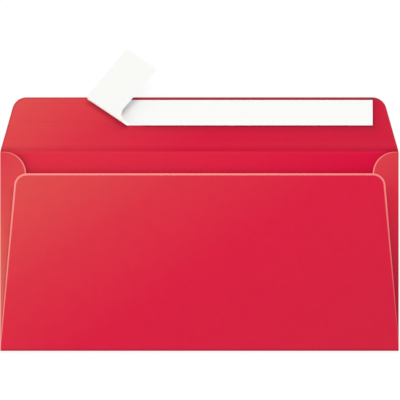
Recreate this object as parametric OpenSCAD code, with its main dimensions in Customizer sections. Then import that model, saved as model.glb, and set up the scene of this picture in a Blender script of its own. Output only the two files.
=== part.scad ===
// Self-seal wallet envelope, lying on its address side with the flap open and one end of the release liner peeled.
// Millimetres. X runs along the crease, Y from the pocket to the flap, Z up.
// The origin is the middle of the address face, on the surface that the envelope lies on.

/* [Pocket] */
// Width of the envelope
pocket_w = 220; // [160:1:330]
// Height of the envelope, from the bottom fold to the crease of the flap
pocket_h = 110; // [100:1:230]
// Clear height between the front and back panels of the relaxed, empty pocket
pocket_gap = 1; // [0.5:0.1:3]
// Thickness of the coloured paper
paper_t = 0.16; // [0.1:0.01:0.3]

/* [Back panel] */
// Depth of the throat, from the crease down to the back panel's top edge
throat = 12; // [4:0.5:50]
// How far each side of the back panel leans in from the bottom fold to the throat
back_lean = 8.3; // [2:0.1:12]
// Radius of the two corners at the throat
back_corner_r = 7; // [1:0.5:15]

/* [Side flaps] */
// Width of each side flap, and the radius of its rounded top corner
side_flap_w = 14.8; // [12:0.1:30]
// Distance from the crease down to the top of each side flap
side_flap_drop = 0.1; // [0.1:0.1:4]
// Distance from the bottom fold up to the foot of each side flap
side_flap_lift = 0.8; // [0.4:0.1:4]
// How much higher the inner corner of a side flap's foot is cut than the outer one
side_flap_foot = 5; // [0:0.5:20]

/* [Seam gum] */
// Width of each line of seam gum
gum_w = 4; // [1:0.5:6]
// Thickness of the seam gum
gum_t = 0.04; // [0.02:0.01:0.1]
// Distance from the side of the back panel to the gum
gum_inset = 1; // [0.5:0.1:3]
// Distance from the bottom fold up to the foot of the gum
gum_start = 7; // [2:0.5:20]

/* [Seal flap] */
// Height of the flap, from the crease to its top edge
flap_h = 30; // [26:0.5:60]
// How far each side of the flap leans in from the crease to the top edge
flap_lean = 8.5; // [2:0.1:20]
// Radius of the two top corners of the flap
flap_corner_r = 8; // [1:0.5:15]
// Depth of the score pressed into the crease
score_depth = 0.05; // [0.02:0.01:0.08]
// Gap between the closed flap's liner and the back panel
close_gap = 0.3; // [0.1:0.05:1]

/* [Adhesive] */
// Width of the adhesive strip
adhesive_w = 10; // [4:0.5:12]
// Thickness of the adhesive strip
adhesive_t = 0.06; // [0.04:0.01:0.15]

/* [Release liner] */
// Distance from each end of the flap's top edge to the end of the unpeeled liner
liner_end_inset = 5.9; // [1:0.1:30]
// Width of the liner
liner_w = 14; // [12:0.5:18]
// Thickness of the liner
liner_t = 0.08; // [0.05:0.01:0.15]
// Distance from the top edge of the flap to the liner
liner_inset = 1.5; // [0.5:0.1:4]

/* [Peeled end] */
// Distance from the liner's left end to where the roll crosses its lower edge
peel_l = 55.5; // [50:0.5:80]
// Angle between the roll and the length of the liner
roll_slant = 33.7; // [25:0.1:60]
// Outer radius of the roll
roll_r = 1.5; // [1:0.1:5]
// Width of the free tab at its end
tab_w = 20.2; // [12:0.1:26]
// Length of the free tab, from the outer line of the roll to its end
tab_l = 35; // [20:0.1:60]
// How far along the roll the tab stands from the liner's lower edge
tab_shift = 6.5; // [1:0.1:10]
// How far the tab's upper edge stands past the liner's upper edge along the roll
tab_spread = 1.9; // [0:0.1:4]
// How far the tab leans back along the roll at its end
tab_lean = 3.7; // [-5:0.1:8]
// Angle at which the tab springs up from the flap
tab_rise = 8; // [0:0.5:30]

/* [Hidden] */
$fn = 96;
// The pieces that the envelope comes apart into

paper_red = [0.86, 0.18, 0.27];
fold_red = [0.80, 0.16, 0.24];
liner_white = [0.97, 0.97, 0.96];
gum_cream = [0.93, 0.88, 0.78];
adhesive_clear = [0.95, 0.80, 0.78];

// Heights of the layers, from the surface upwards
back_z = paper_t + pocket_gap;
back_top = back_z + paper_t;
gum_z = back_z - gum_t;
side_flap_z = gum_z - paper_t;
adhesive_z = paper_t;
liner_z = adhesive_z + adhesive_t;
liner_top = liner_z + liner_t;

// Outer radii of the rolled folds, and the edges of the flat panels that they leave
side_roll_r = gum_z / 2;
bottom_roll_r = back_top / 2;
panel_half_w = pocket_w / 2 - side_roll_r;
bottom_y = -pocket_h / 2;
panel_y = bottom_y + bottom_roll_r;
crease_y = pocket_h / 2;
throat_y = crease_y - throat;
back_panel_h = throat_y - panel_y;

// The crease turns about a line above the paper, so that the closed flap clears the back panel
crease_axis_z = (back_top + close_gap + liner_top) / 2;
crease_w = PI / 2 * (2 * crease_axis_z - paper_t);
score_r = crease_axis_z - paper_t + score_depth;
front_top_y = crease_y - crease_w / 2;
flap_root_y = crease_y + crease_w / 2;

// Side flaps and the stretch of side fold that carries them
side_top_y = crease_y - side_flap_drop;
side_foot_y = panel_y + side_flap_lift;

// Seam gum, from above the bottom fold to just under the throat's corners
gum_foot_y = bottom_y + gum_start;
gum_top_y = throat_y - back_corner_r - gum_w / 2;

// Liner and adhesive on the flap
flap_top_y = crease_y + flap_h;
liner_l = pocket_w - 2 * (flap_lean + liner_end_inset);
liner_top_y = flap_top_y - liner_inset;
liner_low_y = liner_top_y - liner_w;
adhesive_low_y = liner_low_y + (liner_w - adhesive_w) / 2;

// The roll runs from the liner's lower edge to its upper edge, and the tab points away from it
peel_point = [-liner_l / 2 + peel_l, liner_low_y];
roll_l = liner_w / sin(roll_slant);

// A place on the flap, from its distances along the roll and across it
function roll_place(along, across) = peel_point
    + along * [-cos(roll_slant), sin(roll_slant)]
    + across * [sin(roll_slant), cos(roll_slant)];

// Flat outline with a straight foot, leaning sides and two rounded top corners
module leaning_outline(half_w, lean, height, corner_r) {
    side_l = norm([lean, height]);
    out = [height, lean] / side_l;
    centre_y = height - corner_r;
    centre_x = half_w - (corner_r * side_l + lean * centre_y) / height;
    touch = [centre_x, centre_y] + corner_r * out;
    polygon([
        [-half_w, 0], [half_w, 0], touch, [centre_x, height],
        [-centre_x, height], [-touch[0], touch[1]]
    ]);
    for (side = [-1, 1]) translate([side * centre_x, centre_y]) circle(corner_r);
}

// Half a tube of paper lying along +Y, closed towards -X: a sheet turned back on itself
module rolled_fold(outer_r, length) {
    rotate([-90, 0, 0])
        linear_extrude(length)
            difference() {
                circle(outer_r);
                circle(outer_r - paper_t);
                translate([0, -outer_r]) square(2 * outer_r);
            }
}

// Left side flap seen flat: rounded at the top, with a slanting cut at its foot
module side_flap_outline() {
    centre_y = side_top_y - side_flap_w;
    translate([-panel_half_w, 0]) {
        polygon([
            [0, side_foot_y], [side_flap_w, side_foot_y + side_flap_foot],
            [side_flap_w, centre_y], [0, centre_y]
        ]);
        translate([0, centre_y])
            intersection() {
                circle(side_flap_w);
                square(side_flap_w);
            }
    }
}

// Left line of gum seen flat: it follows the side of the back panel and stays on the side flap
module seam_gum_outline() {
    function back_side(y) = -pocket_w / 2 + back_lean * (y - panel_y) / back_panel_h;
    intersection() {
        side_flap_outline();
        polygon([
            for (edge = [[gum_foot_y, 0], [gum_foot_y, gum_w], [gum_top_y, gum_w], [gum_top_y, 0]])
                [back_side(edge[0]) + gum_inset + edge[1], edge[0]]
        ]);
    }
}

module front_panel() {
    color(paper_red)
        translate([-panel_half_w, panel_y, 0])
            cube([2 * panel_half_w, front_top_y - panel_y, paper_t]);
}

module left_side_fold() {
    color(fold_red)
        translate([-panel_half_w, side_foot_y, side_roll_r])
            rolled_fold(side_roll_r, side_top_y - side_foot_y);
}

module right_side_fold() {
    mirror([1, 0, 0]) left_side_fold();
}

module left_side_flap() {
    color(paper_red)
        translate([0, 0, side_flap_z])
            linear_extrude(paper_t) side_flap_outline();
}

module right_side_flap() {
    mirror([1, 0, 0]) left_side_flap();
}

module left_seam_gum() {
    color(gum_cream)
        translate([0, 0, gum_z])
            linear_extrude(gum_t) seam_gum_outline();
}

module right_seam_gum() {
    mirror([1, 0, 0]) left_seam_gum();
}

module bottom_fold() {
    color(fold_red)
        translate([pocket_w / 2, panel_y, bottom_roll_r])
            rotate([0, 0, 90])
                rolled_fold(bottom_roll_r, pocket_w);
}

module back_panel() {
    color(paper_red)
        translate([0, panel_y, back_z])
            linear_extrude(paper_t)
                leaning_outline(pocket_w / 2, back_lean, back_panel_h, back_corner_r);
}

// The paper's living hinge: a flat strip with a round score along the line that the flap turns about
module flap_crease() {
    color(fold_red)
        difference() {
            translate([-panel_half_w, front_top_y, 0])
                cube([2 * panel_half_w, crease_w, paper_t]);
            translate([-pocket_w / 2, crease_y, crease_axis_z])
                rotate([0, 90, 0])
                    cylinder(r = score_r, h = pocket_w);
        }
}

module seal_flap() {
    root_lean = flap_lean * crease_w / 2 / flap_h;
    color(paper_red)
        translate([0, flap_root_y, 0])
            linear_extrude(paper_t)
                leaning_outline(
                    pocket_w / 2 - root_lean, flap_lean - root_lean, flap_h - crease_w / 2, flap_corner_r
                );
}

module adhesive_strip() {
    color(adhesive_clear)
        translate([-liner_l / 2, adhesive_low_y, adhesive_z])
            cube([liner_l, adhesive_w, adhesive_t]);
}

// The stretch of liner that still lies on the adhesive, cut off along the foot of the roll
module release_liner() {
    foot = -roll_r / tan(roll_slant);
    color(liner_white)
        translate([0, 0, liner_z])
            linear_extrude(liner_t)
                polygon([
                    [liner_l / 2, liner_low_y], [liner_l / 2, liner_top_y],
                    roll_place(foot + roll_l, roll_r), roll_place(foot, roll_r)
                ]);
}

// Quarter of the roll's end view about its axis: 0 is the lower one and 1 the upper one
module roll_quarter(upper) {
    intersection() {
        difference() {
            circle(roll_r);
            circle(roll_r - liner_t);
        }
        translate([-roll_r, (upper - 1) * roll_r]) square(roll_r);
        if (upper == 1) rotate(tab_rise) translate([-2 * roll_r, 0]) square(2 * roll_r);
    }
}

// The length of the roll as a solid, from its end view about its axis
module along_roll() {
    spare = roll_l + tab_w;
    translate([peel_point[0], peel_point[1], liner_z + roll_r])
        rotate([90, 0, 90 - roll_slant])
            translate([roll_r, 0, -roll_l - spare])
                linear_extrude(roll_l + 2 * spare) children();
}

// Plan of the tab on the flap, hollowed where its lower edge leaves the roll
module tab_outline() {
    end = tab_shift - tab_lean;
    difference() {
        polygon([
            roll_place(0, 0), roll_place(roll_l + tab_spread, 0), roll_place(end + tab_w, tab_l),
            roll_place(end, tab_l), roll_place(tab_shift, tab_shift)
        ]);
        translate(roll_place(0, tab_shift)) circle(tab_shift);
    }
}

// The peeled end: the liner turns up off the adhesive and over into a free tab
module liner_tab() {
    height = 2 * roll_r + 2 * tab_l;
    color(liner_white) {
        intersection() {
            along_roll() roll_quarter(0);
            translate([-liner_l / 2, liner_low_y, 0]) cube([liner_l, liner_w, height]);
        }
        intersection() {
            along_roll() {
                roll_quarter(1);
                rotate(tab_rise) translate([0, roll_r - liner_t]) square([2 * tab_l, liner_t]);
            }
            linear_extrude(height) tab_outline();
        }
    }
}

front_panel();
left_side_fold();
right_side_fold();
left_side_flap();
right_side_flap();
left_seam_gum();
right_seam_gum();
bottom_fold();
back_panel();
flap_crease();
seal_flap();
adhesive_strip();
release_liner();
liner_tab();
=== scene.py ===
import bpy
import numpy as np
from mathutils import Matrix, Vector


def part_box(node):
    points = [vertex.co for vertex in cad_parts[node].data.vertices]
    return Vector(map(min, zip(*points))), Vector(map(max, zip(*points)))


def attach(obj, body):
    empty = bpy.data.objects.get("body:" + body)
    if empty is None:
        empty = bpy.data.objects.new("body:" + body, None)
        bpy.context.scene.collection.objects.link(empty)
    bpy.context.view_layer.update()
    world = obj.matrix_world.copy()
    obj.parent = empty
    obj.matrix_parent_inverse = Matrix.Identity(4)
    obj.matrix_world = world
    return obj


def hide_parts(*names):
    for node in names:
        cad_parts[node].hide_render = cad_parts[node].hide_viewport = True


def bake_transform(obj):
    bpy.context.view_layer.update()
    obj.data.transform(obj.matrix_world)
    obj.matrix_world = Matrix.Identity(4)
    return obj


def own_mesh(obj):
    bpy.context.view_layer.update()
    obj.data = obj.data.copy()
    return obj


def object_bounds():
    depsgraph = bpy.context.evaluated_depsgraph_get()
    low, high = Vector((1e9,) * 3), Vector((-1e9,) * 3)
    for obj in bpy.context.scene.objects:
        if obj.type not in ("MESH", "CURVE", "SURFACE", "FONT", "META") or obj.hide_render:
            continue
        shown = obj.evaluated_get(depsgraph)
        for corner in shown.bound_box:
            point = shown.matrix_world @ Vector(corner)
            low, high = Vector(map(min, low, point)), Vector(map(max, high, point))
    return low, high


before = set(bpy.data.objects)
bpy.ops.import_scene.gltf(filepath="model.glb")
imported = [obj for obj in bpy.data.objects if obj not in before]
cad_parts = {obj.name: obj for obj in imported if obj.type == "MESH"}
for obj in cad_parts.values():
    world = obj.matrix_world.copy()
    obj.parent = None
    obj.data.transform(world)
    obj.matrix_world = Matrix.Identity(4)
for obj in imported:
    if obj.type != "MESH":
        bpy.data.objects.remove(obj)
cad_low, cad_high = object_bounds()

# View
# The envelope is seen straight down from its back, with the flap at the top, through a long lens
# that shows almost no perspective. The view is a little wider than the envelope.
mm = 0.001
view_centre = (0.33 * mm, 28.3 * mm)
view_width = 220.9 * mm
view_height = 1500 * mm

camera_data = bpy.data.cameras.new("camera")
camera_data.lens = camera_data.sensor_width * view_height / view_width
camera = bpy.data.objects.new("camera", camera_data)
camera.location = (*view_centre, view_height)
bpy.context.collection.objects.link(camera)
bpy.context.scene.camera = camera
bpy.context.scene.view_settings.view_transform = "Standard"


# Table
# A plain white table, far larger than the view. The lens sees it as nearly pure white, and the rest
# of its colour comes from the lamps, so that the envelope keeps a faint shadow under it.
def shader_node(tree, kind, inputs, **settings):
    """One node of a material: settings are its properties, inputs its sockets' values or links."""
    made = tree.nodes.new("ShaderNode" + kind)
    for name, value in settings.items():
        setattr(made, name, value)
    for name, value in inputs.items():
        if isinstance(value, bpy.types.NodeSocket):
            tree.links.new(value, made.inputs[name])
        else:
            made.inputs[name].default_value = value
    return made


def maths(tree, operation, *values):
    """Result of one operation on numbers or links."""
    return shader_node(tree, "Math", dict(enumerate(values)), operation=operation).outputs[0]


def new_material(name):
    """An empty material and its node tree with nothing in it."""
    material = bpy.data.materials.new(name)
    material.use_nodes = True
    tree = material.node_tree
    tree.nodes.clear()
    return material, tree


table_size = 60.0
table_drop = 0.05 * mm
table_white = (0.95, 0.95, 0.95, 1)
glow_white = (1, 1, 1, 1)
glow_strength = 1.02
glow_share = 0.82

table_material, tree = new_material("white_table")
path = shader_node(tree, "LightPath", {}).outputs
seen = maths(tree, "MAXIMUM", path["Is Camera Ray"], path["Is Glossy Ray"])
seen = maths(tree, "MAXIMUM", seen, path["Is Transmission Ray"])
glow = maths(tree, "MULTIPLY", seen, glow_share)
table_paint = shader_node(tree, "BsdfDiffuse", {"Color": table_white}).outputs[0]
table_light = shader_node(tree, "Emission", {"Color": glow_white, "Strength": glow_strength}).outputs[0]
table_mix = shader_node(tree, "MixShader", {0: glow, 1: table_paint, 2: table_light}).outputs[0]
shader_node(tree, "OutputMaterial", {"Surface": table_mix})

table_corners = np.array([[-1, -1, 0], [1, -1, 0], [1, 1, 0], [-1, 1, 0]]) * table_size / 2
table_mesh = bpy.data.meshes.new("table")
table_mesh.from_pydata((table_corners - [0, 0, table_drop]).tolist(), [], [[0, 1, 2, 3]])
table_mesh.materials.append(table_material)
table = bpy.data.objects.new("table", table_mesh)
bpy.context.collection.objects.link(table)


# Light
# A soft lamp stands beyond the flap on the right, and a weak one lies low on the opposite side to open
# up the shadows. The white walls of the room fill in the rest, and its ceiling is darker than they are.
def lamp(name, place, size, watts, colour):
    """A round soft lamp at a place, turned to the middle of the envelope."""
    data = bpy.data.lights.new(name, "AREA")
    data.shape = "DISK"
    data.size = size
    data.energy = watts
    data.color = colour
    made = bpy.data.objects.new(name, data)
    made.location = place
    made.rotation_euler = (-Vector(place)).to_track_quat("-Z", "Y").to_euler()
    bpy.context.collection.objects.link(made)


def eased(tree, value, start, end, first, last):
    """A number that eases from first to last, level at both ends, as a value goes from start to end."""
    inputs = {"Value": value, "From Min": start, "From Max": end, "To Min": first, "To Max": last}
    return shader_node(tree, "MapRange", inputs, interpolation_type="SMOOTHSTEP").outputs[0]


lamp("key_lamp", place=(0.55, 2.1, 1.8), size=1.25, watts=40.3, colour=(1, 0.985, 0.96))
lamp("fill_lamp", place=(-0.9, -1.35, 0.45), size=0.8, watts=7, colour=(1, 0.99, 0.98))

room_colour = (0.99, 1.0, 1.015, 1)
wall_strength = 0.96
wall_top = 0.55
ceiling_strength = 0.18
ceiling_edge = 0.95

world = bpy.data.worlds.new("room")
world.use_nodes = True
bpy.context.scene.world = world
tree = world.node_tree
tree.nodes.clear()
direction = shader_node(tree, "TexCoord", {}).outputs["Generated"]
upward = shader_node(tree, "SeparateXYZ", {0: direction}).outputs["Z"]
room_strength = eased(tree, upward, wall_top, ceiling_edge, wall_strength, ceiling_strength)
room_light = shader_node(tree, "Background", {"Color": room_colour, "Strength": room_strength}).outputs[0]
shader_node(tree, "OutputWorld", {"Surface": room_light})


# Front panel
# The address side of the blank: smooth satin paper, dyed right through, that lies flat on the table.
# Inside the throat it is the floor of the pocket, a deeper red than the outside, and shaded along the
# mouth and round the tops of the side flaps.
def noise(tree, place, scale, detail):
    """Smooth random numbers from 0 to 1, in lumps of one over the scale, with finer ones by the detail."""
    return shader_node(tree, "TexNoise", {"Vector": place, "Scale": scale, "Detail": detail}).outputs[0]


def field(tree, name):
    """The number that a piece's mesh holds at each point under a name, or 0 where it holds none."""
    return shader_node(tree, "Attribute", {}, attribute_name=name).outputs["Fac"]


def between(tree, share, first, second):
    """Number between two numbers: first at a share of 0, second at a share of 1."""
    inputs = {"Factor": share, "A": first, "B": second}
    return shader_node(tree, "Mix", inputs, data_type="FLOAT").outputs[0]


def mixed(tree, share, first, second):
    """Colour between two colours: first at a share of 0, second at a share of 1."""
    return shader_node(tree, "MixRGB", {0: share, 1: first, 2: second}).outputs[0]


def distance_along(tree, place, direction):
    """How far a place lies along a direction of length 1: their dot product."""
    made = shader_node(tree, "VectorMath", {0: place, 1: direction}, operation="DOT_PRODUCT")
    return made.outputs["Value"]


def finished(tree, colour, roughness, gloss, relief, strength, depth):
    """A material's finish: its colour, roughness and gloss on a relief, whose numbers from 0 to 1 stand
    for a depth that the strength lessens."""
    bump = shader_node(tree, "Bump", {"Height": relief, "Strength": strength, "Distance": depth}).outputs[0]
    face = shader_node(
        tree,
        "BsdfPrincipled",
        {"Base Color": colour, "Roughness": roughness, "Specular IOR Level": gloss, "Normal": bump},
    ).outputs[0]
    shader_node(tree, "OutputMaterial", {"Surface": face})


# The slant of the painted light: a painted sheen towards one corner, painted shade towards the other.
painted_light_slant = (0.555, -0.832, 0)
cloud_depth = 0.03
cloud_scale = 260
cloud_low = 0.3
cloud_high = 0.7
cloud_fibres = 0.4
fibre_turn = (0, 0, 0.3)
fibre_scale = (900, 3200, 1500)
fray_depth = 0.5
fray_end = 1.45
tooth_scale = 5200
tooth_fibres = 0.5
tooth_strength = 0.2
tooth_depth = 0.04 * mm
satin_rough = 0.56
satin_range = 0.1
# The colours that painted light mixes in: a painted highlight and a painted shade.
painted_highlight_red = (1.0, 0.190, 0.135)
painted_shade_red = (0.36, 0.004, 0.028)


def dye_and_painted_light(tree, place, clouds, stops):
    """Colour of the red dye, with painted light along a slant: a painted sheen towards one corner and
    painted shade towards the other. It runs evenly between stops, each a distance along the slant and the
    colour there, and the clouds, from 0 to 1, take it from a little darker to a little lighter than that."""
    first = stops[0][0]
    last = stops[-1][0]
    along = distance_along(tree, place, painted_light_slant)
    share = shader_node(tree, "MapRange", {"Value": along, "From Min": first, "From Max": last}).outputs[0]
    ramp = shader_node(tree, "ValToRGB", {"Fac": share})
    elements = ramp.color_ramp.elements
    for distance, _ in stops[1:-1]:
        elements.new((distance - first) / (last - first))
    for element, (_, colour) in zip(elements, stops):
        element.color = (*colour, 1)
    level = maths(tree, "MULTIPLY_ADD", clouds, 2 * cloud_depth, 1 - cloud_depth)
    inputs = {0: ramp.outputs[0], "Scale": level}
    return shader_node(tree, "VectorMath", inputs, operation="SCALE").outputs[0]


def edges_and_painted_light(tree, colour, fibres, edge_colour):
    """A paper's colour with a band along its edges and painted light on its face. The field edge is the
    distance from a cut edge, or from a line along it, in widths of a band that the fibres fray, and another
    field is how far that band takes the edge's colour. A third field is the painted light: a painted
    highlight above 0, painted shade below 0."""
    frayed = maths(tree, "MULTIPLY_ADD", fibres, fray_depth, field(tree, "edge"))
    band = eased(tree, frayed, 1.0, fray_end, field(tree, "bared"), 0)
    tone = field(tree, "tone")
    painted_lit = maths(tree, "MAXIMUM", tone, 0)
    painted_dark = maths(tree, "MAXIMUM", maths(tree, "MULTIPLY", tone, -1), 0)
    colour = mixed(tree, painted_lit, colour, (*painted_highlight_red, 1))
    colour = mixed(tree, painted_dark, colour, (*painted_shade_red, 1))
    return mixed(tree, band, colour, (*edge_colour, 1))


def red_paper(name, stops, gloss, edge_colour=None, past_stops=None):
    """Red paper with a gloss of its own, whose dye and painted light run between stops along the slant,
    with an edge band and painted light where it has an edge colour. Where it has past stops too, the field
    past takes the colour over from the first stops to those. Its fibres lie in faint clouds, and it has a
    fine tooth."""
    material, tree = new_material(name)
    place = shader_node(tree, "TexCoord", {}).outputs["Object"]
    lumps = noise(tree, place, cloud_scale, 3)
    lumps = shader_node(tree, "MapRange", {"Value": lumps, "From Min": cloud_low, "From Max": cloud_high})
    lumps = lumps.outputs[0]
    grain = shader_node(tree, "Mapping", {"Vector": place, "Rotation": fibre_turn, "Scale": fibre_scale})
    fibres = noise(tree, grain.outputs[0], 1, 2)
    clouds = between(tree, cloud_fibres, lumps, fibres)

    colour = dye_and_painted_light(tree, place, clouds, stops)
    if past_stops:
        colour = mixed(tree, field(tree, "past"), colour, dye_and_painted_light(tree, place, clouds, past_stops))
    if edge_colour:
        colour = edges_and_painted_light(tree, colour, fibres, edge_colour)
    roughness = maths(tree, "MULTIPLY_ADD", lumps, satin_range, satin_rough)
    tooth = between(tree, tooth_fibres, noise(tree, place, tooth_scale, 2), fibres)
    finished(tree, colour, roughness, gloss, tooth, tooth_strength, tooth_depth)
    return material


def sheet(name, points, thickness, materials, **fields):
    """A sheet of that thickness about a grid of points, rows by columns, with a number per point for each
    field. The first material is its upper face and its rim, and a second one its lower face. Both edges
    of the rim stay sharp, so that the faces are lit as flat right up to where they are cut."""
    rows, columns = points.shape[:2]
    corner = np.arange(rows * columns).reshape(rows, columns)
    quads = np.stack([corner[:-1, :-1], corner[:-1, 1:], corner[1:, 1:], corner[1:, :-1]], axis=-1)
    mesh = bpy.data.meshes.new(name)
    mesh.from_pydata(points.reshape(-1, 3).tolist(), [], quads.reshape(-1, 4).tolist())
    for field_name, values in fields.items():
        numbers = np.broadcast_to(values, (rows, columns)).astype(np.float32)
        mesh.attributes.new(field_name, "FLOAT", "POINT").data.foreach_set("value", numbers.ravel())
    ends = np.empty(2 * len(mesh.edges), np.int32)
    mesh.edges.foreach_get("vertices", ends)
    row, column = np.divmod(ends.reshape(-1, 2), columns)
    rim_rows = (row == 0).all(axis=1) | (row == rows - 1).all(axis=1)
    rim_columns = (column == 0).all(axis=1) | (column == columns - 1).all(axis=1)
    mesh.attributes.new("sharp_edge", "BOOLEAN", "EDGE").data.foreach_set("value", rim_rows | rim_columns)
    mesh.shade_smooth()
    for material in materials:
        mesh.materials.append(material)
    made = bpy.data.objects.new(name, mesh)
    bpy.context.collection.objects.link(made)
    wall = made.modifiers.new("thickness", "SOLIDIFY")
    wall.thickness = thickness
    wall.offset = 0
    wall.material_offset = len(materials) - 1
    return made


def edge_to_edge(length, count):
    """Distances along a line, a fraction of a millimetre apart near both ends and even in between."""
    near = mm * np.array([0, 0.15, 0.4, 0.7, 1.0, 1.3, 1.7, 2.3, 3.2])
    even = np.linspace(near[-1], length - near[-1], count)
    return np.concatenate([near[:-1], even, (length - near[:-1])[::-1]])


# Each pair of stops runs from a painted sheen on the red to the plain red.
red_half_painted_sheen = (0.728, 0.0245, 0.0510)
dye_clear = (0.712, 0.0052, 0.0440)
outer_stops = [(-123 * mm, red_half_painted_sheen), (110 * mm, dye_clear)]
inner_painted_sheen = (0.745, 0.0250, 0.0540)
inner_deep = (0.697, 0.0020, 0.0455)
inner_stops = [(-87 * mm, inner_painted_sheen), (12 * mm, inner_deep)]
# The pale line along cut edges is a painted highlight.
edge_highlight_pale = (1.0, 0.285, 0.270)
outer_gloss = 0.22
inner_gloss = 0.1
outer_paper = red_paper("red_outer_paper", outer_stops, outer_gloss)
inner_paper = red_paper("red_inner_paper", inner_stops, inner_gloss, edge_highlight_pale)

sides = {"left": -1, "right": 1}
mouth_shade = 0.26
mouth_reach = 2.2 * mm
arc_shade = {"left": 0.42, "right": 0.06}
arc_reach = 2.6 * mm
front_low, front_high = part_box("front_panel")
back_low, back_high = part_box("back_panel")
side_low, side_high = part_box("left_side_flap")
paper_t = front_high.z - front_low.z
panel_half_w = front_high.x
side_corner_r = 12.1 * mm
side_corner_in = 1.7 * mm
side_corner_y = side_high.y - side_corner_r

# A flat grid, with closer rows in the throat. The shade falls off exponentially from the mouth and from
# the circles of the side flaps' corners.
floor_y = np.linspace(back_high.y, front_high.y, 45)
covered_y = np.linspace(front_low.y, back_high.y, 20)[:-1]
x, y = np.meshgrid(
    edge_to_edge(2 * panel_half_w, 160) - panel_half_w,
    np.concatenate([covered_y, floor_y]),
)
shade = mouth_shade * np.exp(-np.maximum(y - back_high.y, 0) / mouth_reach)
for side, sign in sides.items():
    past_corner = np.maximum(panel_half_w - side_corner_in - sign * x, 0)
    from_arc = np.hypot(past_corner, np.maximum(y - side_corner_y, 0)) - side_corner_r
    shade = shade + arc_shade[side] * np.exp(-np.maximum(from_arc, 0) / arc_reach)
front_panel = sheet(
    "front_panel_sheet",
    np.stack([x, y, np.full_like(x, paper_t / 2)], axis=-1),
    paper_t,
    [inner_paper, outer_paper],
    tone=-shade,
)
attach(front_panel, "pocket")
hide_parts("front_panel")

# Side flaps
# At each end the blank is rolled over on itself into a narrow flap, which has a round top corner. The
# paper lies slack between its fold and the seam. The left one is painted paler, as a highlight, and the
# right one darker, as painted shade.
# Painted light: the left flap is paler, as a painted highlight, and the right one darker, as painted shade.
side_stops = [
    (-103 * mm, (0.728, 0.041, 0.060)),
    (-62 * mm, (0.738, 0.083, 0.073)),
    (-22 * mm, (0.690, 0.150, 0.110)),
    (15 * mm, (0.700, 0.040, 0.058)),
    (36 * mm, (0.655, 0.013, 0.040)),
    (85 * mm, (0.390, 0.002, 0.022)),
]
# The pale edge colour is a painted highlight.
side_highlight_pale = (1.0, 0.238, 0.245)
side_paper = red_paper("red_side_paper", side_stops, outer_gloss, side_highlight_pale)

side_flap_w = side_high.x - side_low.x
side_foot_cut = 5 * mm
side_inner_cut = 2.5 * mm
side_slack = 4.5 * mm
side_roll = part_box("left_side_fold")[1].z / 2
side_bend = side_roll - paper_t / 2
side_rise = side_high.z - paper_t / 2
close_rows = 0.04

side_band = 0.9 * mm
fold_band = 0.3
side_bared = 0.9
fold_bared = 0.55
# Painted shade by the back panel's edge; along the fold, a painted highlight left and painted shade right.
seam_tone = {"left": -0.36, "right": -0.5}
seam_reach = 1.3 * mm
fold_tone = {"left": 0.8, "right": -0.3}
fold_reach = 0.7 * mm

back_lean = 8.3 * mm
back_corner = 7 * mm
back_height = back_high.y - back_low.y
askew = {"left": (0.2 * mm, 0), "right": (0.37 * mm, 0.45 * mm)}


def rolled_fold(bend, slack, count):
    """Section across a fold: distances past its score line and heights above the roll's axis. A quarter
    circle of radius bend turns the paper up, and a quarter ellipse levels it out over the slack."""
    turn = np.linspace(0, np.pi / 2, 13)[:-1]
    rounding = np.linspace(0, np.pi / 2, count)
    levelling = slack * (1 - np.cos(rounding)) - bend * np.cos(rounding)
    past = np.concatenate([-bend * np.sin(turn), levelling])
    rise = np.concatenate([-bend * np.cos(turn), bend * np.sin(rounding)])
    return past, rise


def back_side(side, up):
    """Half-width of the back panel on one side, where up goes from 0 at its foot to 1 at its top. It falls
    along the lean. The panel is turned up a little askew, so it stands out by two lengths, at the foot
    and at the top, but never past the envelope's end."""
    at_foot, at_top = askew[side]
    return np.minimum(back_high.x + at_foot + (at_top - at_foot - back_lean) * up, back_high.x)


# Section across the flap: its rolled fold, then flat. Each column runs up from the slanted foot to the
# circle of the corner, with rows that lie closer and closer together near its top.
past, rise = rolled_fold(side_bend, side_slack, 33)
flat = side_corner_in + side_corner_r * np.sin(np.linspace(0, np.pi / 2, 61))
flat = np.concatenate([flat[flat > side_slack], np.linspace(flat[-1], side_flap_w, 5)[1:]])
inward = np.concatenate([past, flat])
height = np.concatenate([side_roll + rise, np.full_like(flat, side_rise)])

past_fold = np.maximum(inward, 0)
past_corner = np.maximum(inward - side_corner_in, 0)
past_arc = np.maximum(past_corner - side_corner_r, 0) / (side_flap_w - side_corner_in - side_corner_r)
arc = np.sqrt(np.maximum(side_corner_r**2 - past_corner**2, 0))
foot = side_low.y + side_foot_cut * past_fold / side_flap_w
top = side_corner_y + arc - side_inner_cut * past_arc
even = np.linspace(0, 1 - close_rows, 60)
up = np.concatenate([even, 1 - close_rows * np.linspace(1, 0, 25)[1:] ** 1.5])[:, None]
flap_y = foot + (top - foot) * up
flap_z = np.broadcast_to(height, flap_y.shape)

# Painted light: a painted highlight along the cut edge that narrows towards the fold, painted shade
# that falls off from the back panel's edge, and painted light along the fold that fades out upwards.
from_arc = side_corner_r - np.hypot(past_corner, flap_y - side_corner_y)
from_edge = np.where(flap_y > side_corner_y, from_arc, side_flap_w - inward)
at_fold = np.exp(-(inward + side_bend) / fold_reach) * (1 - up)
band = side_band * (fold_band + (1 - fold_band) * past_fold / side_flap_w)
bared = fold_bared + (side_bared - fold_bared) * past_fold / side_flap_w

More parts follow.
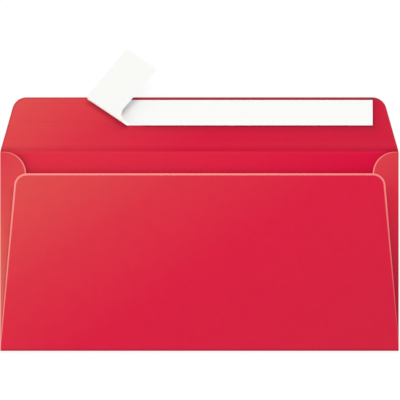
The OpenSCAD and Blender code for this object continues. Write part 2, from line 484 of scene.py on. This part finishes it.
for side, sign in sides.items():
    from_back = panel_half_w - inward - back_side(side, (flap_y - back_low.y) / back_height)
    painted_dark = np.exp(-np.maximum(from_back, 0) / seam_reach) * (flap_y < back_high.y - back_corner)
    tone = seam_tone[side] * painted_dark + fold_tone[side] * at_fold
    flap_x = np.broadcast_to(sign * (panel_half_w - inward), flap_y.shape)
    order = -sign
    side_flap = sheet(
        side + "_side_flap_sheet",
        np.stack([flap_x, flap_y, flap_z], axis=-1)[:, ::order],
        paper_t,
        [side_paper],
        edge=(from_edge / band)[:, ::order],
        bared=bared[::order],
        tone=tone[:, ::order],
    )
    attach(side_flap, "pocket")
    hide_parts(side + "_side_flap", side + "_side_fold")


# Back panel
# The blank is rolled up along the bottom into the back panel, which is gummed to the side flaps. Its
# sides lean in over them, its two corners at the throat are round, and a pale line is painted along its
# cut edge as a highlight.
def leaning_grid(half_w, lean, height, corner_r):
    """Places on a panel with leaning sides and two round top corners, from the middle of its foot, and
    their distances from its cut edge. Each row runs from side to side: its half-width falls along the
    lean, then along the circle of the corners."""
    tilt = np.arctan2(lean, height)
    centre_y = height - corner_r
    centre_x = half_w - corner_r / np.cos(tilt) - lean * centre_y / height
    straight = np.linspace(0, centre_y + corner_r * np.sin(tilt), 60)
    bend = np.linspace(tilt, np.pi / 2, 28)[1:]
    width = np.concatenate([half_w - lean * straight / height, centre_x + corner_r * np.cos(bend)])
    y = np.concatenate([straight, centre_y + corner_r * np.sin(bend)])[:, None]
    x = width[:, None] * (edge_to_edge(2 * half_w, 64) / half_w - 1)
    y = np.broadcast_to(y, x.shape)
    past_x = np.abs(x) - centre_x
    past_y = y - centre_y
    in_corner = (past_x > 0) & (past_x * np.sin(tilt) < past_y * np.cos(tilt))
    from_side = (half_w - lean * y / height - np.abs(x)) * np.cos(tilt)
    edge = np.where(in_corner, corner_r - np.hypot(past_x, past_y), np.minimum(from_side, height - y))
    return x, y, edge


# The back panel's red runs from a painted sheen at one corner to painted shade at the far one.
red_painted_sheen = (0.750, 0.0690, 0.0690)
red_painted_shade_end = (0.630, 0.0095, 0.0410)
back_stops = [
    (-87 * mm, red_painted_sheen),
    (-39 * mm, red_half_painted_sheen),
    (9 * mm, dye_clear),
    (135 * mm, red_painted_shade_end),
]
back_paper = red_paper("red_paper", back_stops, outer_gloss, edge_highlight_pale)

# The painted highlight along the cut edge narrows and weakens towards the foot, more on the right.
back_band = 1.1 * mm
foot_band = {"left": 0.45, "right": 0.25}
foot_bared = {"left": 0.7, "right": 0.1}
right_top_bared = 0.82
bottom_slack = 1.4 * mm
# Painted shade along the bottom roll, darkest at the envelope's bottom edge.
bottom_tone = -0.5
bottom_reach = 1.1 * mm
bottom_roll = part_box("bottom_fold")[1].z / 2
bottom_bend = bottom_roll - paper_t / 2

# The leaning grid past the slack, stretched sideways to the askew sides. Below it come the rows of the
# bottom roll, which widen along a sine from the front panel to the envelope's full width.
x, y, edge = leaning_grid(back_high.x, back_lean, back_height, back_corner)
up = y / back_height
x = x * np.where(x < 0, back_side("left", up), back_side("right", up)) / (back_high.x - back_lean * up)
past_roll = y[:, 0] > bottom_slack
x, y, edge = x[past_roll], y[past_roll], edge[past_roll]

past, rise = rolled_fold(bottom_bend, bottom_slack, 25)
outward = np.where(rise < 0, -past / bottom_bend, 1)
roll_half_w = panel_half_w + (back_high.x - panel_half_w) * outward[:, None]
roll_x = roll_half_w * x[0] / x[0, -1]
roll_y = np.broadcast_to(past[:, None], roll_x.shape)

z = np.full(len(x), back_high.z - paper_t / 2)
x = np.concatenate([roll_x, x])
y = np.concatenate([roll_y, y])
z = np.broadcast_to(np.concatenate([bottom_roll + rise, z])[:, None], x.shape)
edge = np.concatenate([roll_half_w - np.abs(roll_x), edge])

up = np.maximum(y, 0) / back_height
low_band = np.where(x < 0, foot_band["left"], foot_band["right"])
low_bared = np.where(x < 0, foot_bared["left"], foot_bared["right"])
top_bared = 1 - (1 - right_top_bared) * np.clip(x / back_high.x, 0, 1)
from_bottom = back_low.y + y - cad_low.y
back_panel = sheet(
    "back_panel_sheet",
    np.stack([x, back_low.y + y, z], axis=-1),
    paper_t,
    [back_paper],
    edge=edge / (back_band * (low_band + (1 - low_band) * up)),
    bared=low_bared + (top_bared - low_bared) * up,
    tone=bottom_tone * np.exp(-((from_bottom / bottom_reach) ** 4)),
)
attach(back_panel, "pocket")
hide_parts("back_panel", "bottom_fold")

# Seam gum
# Two lines of gum, dried between the side flaps and the back panel, which they hold together.
# They show only from inside.
gum_dark = (0.72, 0.55, 0.36, 1)
gum_pale = (0.90, 0.80, 0.62, 1)
gum_scale = 420
gum_rough = 0.35
gum_gloss = 0.5
gum_strength = 0.3
gum_depth = 0.02 * mm

gum_material, tree = new_material("dried_gum")
gum_lumps = noise(tree, shader_node(tree, "TexCoord", {}).outputs["Object"], gum_scale, 3)
gum_colour = mixed(tree, gum_lumps, gum_dark, gum_pale)
finished(tree, gum_colour, gum_rough, gum_gloss, gum_lumps, gum_strength, gum_depth)
for side in sides:
    gum_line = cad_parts[side + "_seam_gum"]
    gum_line.data.materials.clear()
    gum_line.data.materials.append(gum_material)

# Crease
# A strip of the blank that the flap turns about. It is pressed with a score, and the paper stands up in
# a bead on both sides of it. Past it the strip leans in as the flap does, takes the flap's own red, and
# swells up before it lies flat, with a painted shade just past the score.
# The flap's red runs from a painted sheen on the left to painted shade on the right.
flap_stops = [
    (-123 * mm, red_painted_sheen),
    (-87 * mm, red_half_painted_sheen),
    (-51 * mm, (0.702, 0.0030, 0.0405)),
    (5 * mm, (0.635, 0.0055, 0.0380)),
]
# A dark line along cut edges, which above the liner also serves as its painted shadow.
line_and_shadow_dark = (0.30, 0.042, 0.045)
crease_gloss = 0.16
crease_paper = red_paper("red_crease_paper", inner_stops, crease_gloss, line_and_shadow_dark, flap_stops)

score_depth = 0.06 * mm
score_w = 0.5 * mm
swell_height = 6.5 * mm
swell_reach = 6.5 * mm
crease_tone = -0.2
crease_reach = 0.8 * mm
crease_w = 1.0 * mm
flap_lean = 8.5 * mm
flap_line = 0.7 * mm
flap_band = 0.35 * mm
flap_bared = 0.35
no_edge = 9.0
flap_low, flap_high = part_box("seal_flap")
crease_low, crease_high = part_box("flap_crease")
crease_y = (crease_low.y + crease_high.y) / 2
crease_half_l = crease_high.y - crease_y
root_lean = crease_half_l * flap_lean / (flap_high.y - crease_y)


def crease_swell(y):
    """Height by which the paper swells past the crease: u squared times (1 - u) cubed, where u goes from
    0 to 1 over the reach of the swelling."""
    u = np.clip((y - crease_y) / swell_reach, 0, 1)
    return swell_height * u**2 * (1 - u) ** 3


def crease_painted_shade(y):
    """Painted shade on the paper past the crease: u times the exponential of 1 - u, where u is the
    distance in reaches, so it is darkest one reach past the crease."""
    u = np.maximum(y - crease_y, 0) / crease_reach
    return crease_tone * u * np.exp(1 - u)


# Rows as wide as the pocket up to the crease, then leaning in. The bead is a hump with a bell-shaped
# score in it, which falls to nothing at both edges of the strip.
share, y = np.meshgrid(
    edge_to_edge(2 * panel_half_w, 60) / panel_half_w - 1,
    np.linspace(crease_low.y, crease_high.y, 33),
)
from_crease = y - crease_y
leaning_w = flap_high.x + root_lean * (1 - from_crease / crease_half_l)
x = share * np.where(from_crease < 0, panel_half_w, leaning_w)
fall = np.cos(np.pi / 2 * from_crease / crease_half_l) ** 2
bead = score_depth * (1 - np.exp(-((from_crease / score_w) ** 2))) * fall
from_line = np.abs(leaning_w - np.abs(x) - flap_line)
crease = sheet(
    "flap_crease_sheet",
    np.stack([x, y, paper_t / 2 + bead + crease_swell(y)], axis=-1),
    paper_t,
    [crease_paper, outer_paper],
    edge=np.where(from_crease < 0, no_edge, from_line / flap_band),
    bared=flap_bared,
    past=np.clip(from_crease / crease_w + 0.5, 0, 1),
    tone=crease_painted_shade(y),
)
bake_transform(crease)
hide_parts("flap_crease")

# Seal flap
# The flap lies open on the table. Its sides lean in, its two corners are round, and the die that cut it
# has crushed a dark line just inside its edge. Round the strip that the liner still covers, the paper is
# painted darker as the liner's shadow, and the flap is painted a little darker away from its ends.
flap_paper = red_paper("red_flap_paper", flap_stops, outer_gloss, line_and_shadow_dark)

flap_corner = 8 * mm
# Painted shade: the flap a little darker away from its ends.
flap_tone = -0.05
clear_end_w = 55 * mm
# The liner's painted shadow on the flap round the strip it covers.
soak_tone = -0.55
liner_shadow_reach = 3.3 * mm
liner_shadow_start = 40 * mm
liner_shadow_end = 4 * mm
liner_shadow_band = 1.5 * mm
soak_bared = 0.85
liner_low, liner_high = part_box("release_liner")

# The leaning grid, raised by the swelling of the crease. The painted shadow of the liner falls off in a
# bell shape from the covered strip, and the dark line is narrow, but widens inwards as painted shadow where
# the liner runs beside it.
x, y, edge = leaning_grid(flap_high.x, flap_lean - root_lean, flap_high.y - flap_low.y, flap_corner)
y = flap_low.y + y
past_x = np.maximum(x - liner_high.x, 0)
past_y = np.maximum(liner_low.y - y, 0)
from_start = np.clip((x - liner_low.x) / liner_shadow_start, 0, 1)
liner_shadowed = soak_tone * np.exp(-(np.hypot(past_x, past_y) / liner_shadow_reach) ** 2) * from_start
over_liner = from_start * np.clip(1 - past_x / liner_shadow_end, 0, 1) * (y > liner_high.y)
inner_band = flap_band + (liner_shadow_band - flap_band) * over_liner
outside_line = (flap_line - edge) / flap_band
inside_line = (edge - flap_line) / inner_band
painted_middle_shade = flap_tone * np.clip((flap_high.x - np.abs(x)) / clear_end_w, 0, 1)
seal_flap = sheet(
    "seal_flap_sheet",
    np.stack([x, y, paper_t / 2 + crease_swell(y)], axis=-1),
    paper_t,
    [flap_paper, outer_paper],
    edge=np.where(edge < flap_line, outside_line, inside_line),
    bared=flap_bared + (soak_bared - flap_bared) * over_liner,
    tone=np.minimum(crease_painted_shade(y), liner_shadowed) + painted_middle_shade,
)
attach(seal_flap, "flap")
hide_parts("seal_flap")

# Adhesive
# A clear, tacky strip rolled onto the flap, with the red of the paper showing through it. It shows as a
# faint gloss where the liner is peeled off it, and the roll's shadow is painted dark along the slant where
# the peeling stopped.
film_stretch = (60, 900, 60)
film_rough = 0.38
film_gloss = 0.32
film_strength = 0.2
film_depth = 0.03 * mm
roll_slant = np.radians(33.7)
roll_r = 1.5 * mm
liner_w = liner_high.y - liner_low.y
peel_x = liner_low.x + liner_w / np.tan(roll_slant) - roll_r / np.sin(roll_slant)
# The roll's painted shadow: a dark line along the slant where the peeling stopped.
stop_tone = 0.4
roll_shadow_reach = 2.2 * mm
stop_across = (np.sin(roll_slant), np.cos(roll_slant), 0)
stop_place = peel_x * stop_across[0] + liner_low.y * stop_across[1]

adhesive_material, tree = new_material("clear_adhesive")
place = shader_node(tree, "TexCoord", {}).outputs["Object"]
stretched = shader_node(tree, "Mapping", {"Vector": place, "Scale": film_stretch}).outputs[0]
streaks = noise(tree, stretched, 1, 3)
across = distance_along(tree, place, stop_across)
from_stop = maths(tree, "ABSOLUTE", maths(tree, "SUBTRACT", across, stop_place))
roll_shadowed = eased(tree, from_stop, 0, roll_shadow_reach, stop_tone, 0)
film_colour = mixed(tree, roll_shadowed, dye_and_painted_light(tree, place, streaks, flap_stops), (*painted_shade_red, 1))
finished(tree, film_colour, film_rough, film_gloss, streaks, film_strength, film_depth)

# A flat film with low sine ripples across it, left by the roller that laid it.
ripple_l = 2.1 * mm
ripple_share = 0.06
film_share = 0.86
film_low, film_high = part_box("adhesive_strip")
film_t = film_high.z - film_low.z
x, y = np.meshgrid(
    film_low.x + edge_to_edge(film_high.x - film_low.x, 60),
    film_low.y + edge_to_edge(film_high.y - film_low.y, 20),
)
ripple = ripple_share * film_t * np.sin(2 * np.pi * (y - film_low.y) / ripple_l)
adhesive = sheet(
    "adhesive_film",
    np.stack([x, y, (film_low.z + film_high.z) / 2 + ripple], axis=-1),
    film_share * film_t,
    [adhesive_material],
)
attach(adhesive, "flap")
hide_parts("adhesive_strip")

# Release liner
# White paper lying on the adhesive, with a smoother and whiter silicone coat on its underside. Its lower
# edge and its right end curl up a little. It ends along a slant, where the peeled end turns up.
liner_gloss = 0.35
liner_tooth_scale = 4200
liner_tooth_strength = 0.12
liner_tooth_depth = 0.03 * mm


def white_paper(name, dark, pale, roughness):
    """White paper whose fibres lie in faint clouds between two whites, with a fine tooth."""
    material, tree = new_material(name)
    place = shader_node(tree, "TexCoord", {}).outputs["Object"]
    colour = mixed(tree, noise(tree, place, cloud_scale, 4), (*dark, 1), (*pale, 1))
    tooth = noise(tree, place, liner_tooth_scale, 2)
    finished(tree, colour, roughness, liner_gloss, tooth, liner_tooth_strength, liner_tooth_depth)
    return material


liner_face = white_paper("release_paper", (0.940, 0.940, 0.925), (0.970, 0.968, 0.952), roughness=0.55)
liner_coat = white_paper("silicone_coat", (0.962, 0.967, 0.938), (0.988, 0.992, 0.962), roughness=0.45)

lower_curl = 0.4 * mm
lower_curl_power = 2.2
end_curl = 0.6 * mm
end_curl_l = 11 * mm
held_l = 12 * mm
end_share = 0.1
liner_t = liner_high.z - liner_low.z
liner_z = (liner_low.z + liner_high.z) / 2
roll_l = liner_w / np.sin(roll_slant)

# Each row runs from the slant to the right end. It rises by a power of the distance from the upper edge,
# or by a square towards the right end, and eases down to nothing where the roll holds it.
up = edge_to_edge(liner_w, 12)[:, None]
along = np.concatenate([np.linspace(0, 1 - end_share, 70), np.linspace(1 - end_share, 1, 25)[1:]])
left_end = peel_x + roll_r / np.sin(roll_slant) - up / np.tan(roll_slant)
x = left_end + (liner_high.x - left_end) * along
y = np.broadcast_to(liner_low.y + up, x.shape)
loose = np.clip((x - left_end) / held_l, 0, 1)
at_lower_edge = lower_curl * (1 - up / liner_w) ** lower_curl_power
at_end = end_curl * np.clip(1 - (liner_high.x - x) / end_curl_l, 0, 1) ** 2
lift = np.maximum(at_lower_edge, at_end) * loose**2 * (3 - 2 * loose)
liner = sheet(
    "release_liner_sheet",
    np.stack([x, y, liner_z + lift], axis=-1),
    liner_t,
    [liner_face, liner_coat],
)
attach(liner, "liner")
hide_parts("release_liner")
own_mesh(liner)

# Peeled end
# The left end of the liner, pulled off the adhesive. It rolls up and over into a free tab, which shows
# its silicone coat, points away from the roll and springs up a little.
tab_w = 20.2 * mm
tab_l = 35 * mm
tab_shift = 6.5 * mm
tab_spread = 1.9 * mm
tab_lean = 3.7 * mm
tab_rise = np.radians(8)
round_l = 2.5 * mm
round_keep = 0.4

# Section across the roll: a circle turns the paper over as far as the tab's rise, then it runs straight.
middle_r = roll_r - liner_t / 2
turned = np.linspace(0, np.pi - tab_rise, 40)
roll_across = roll_r - middle_r * np.sin(turned)
roll_height = roll_r - middle_r * np.cos(turned)
plate_across = np.linspace(roll_across[-1], tab_l, 40)[1:]
plate_height = roll_height[-1] + (plate_across - roll_across[-1]) * np.tan(tab_rise)
across = np.concatenate([roll_across, plate_across])
height = np.concatenate([roll_height, plate_height])
rising = np.concatenate([turned < np.pi / 2, np.zeros(len(plate_across), bool)])

# Outline along the roll: the rising half keeps the liner's width, and the tab then opens out, with a
# quarter circle and a straight line on its low side and a small round corner on its top side.
hollow = np.sqrt(np.maximum(tab_shift**2 - (across - tab_shift) ** 2, 0))
straight = tab_shift - tab_lean * (across - tab_shift) / (tab_l - tab_shift)
rounded = np.sin(np.pi / 2 * np.clip(across / round_l, 0, 1))
spread = tab_spread * (round_keep + (1 - round_keep) * rounded)
low_edge = np.where(across < tab_shift, hollow, straight)
top_edge = roll_l + spread + (tab_shift - tab_lean + tab_w - roll_l - spread) * across / tab_l
low_edge = np.where(rising, -across / np.tan(roll_slant), low_edge)
top_edge = np.where(rising, roll_l - across / np.tan(roll_slant), top_edge)
along = low_edge[:, None] + (top_edge - low_edge)[:, None] * np.linspace(0, 1, 25)

across = across[:, None]
x = peel_x - along * np.cos(roll_slant) + across * np.sin(roll_slant)
y = liner_low.y + along * np.sin(roll_slant) + across * np.cos(roll_slant)
z = np.broadcast_to(liner_low.z + height[:, None], x.shape)
tab = sheet("liner_tab_sheet", np.stack([x, y, z], axis=-1), liner_t, [liner_face, liner_coat])
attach(tab, "tab")
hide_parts("liner_tab")
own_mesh(tab)
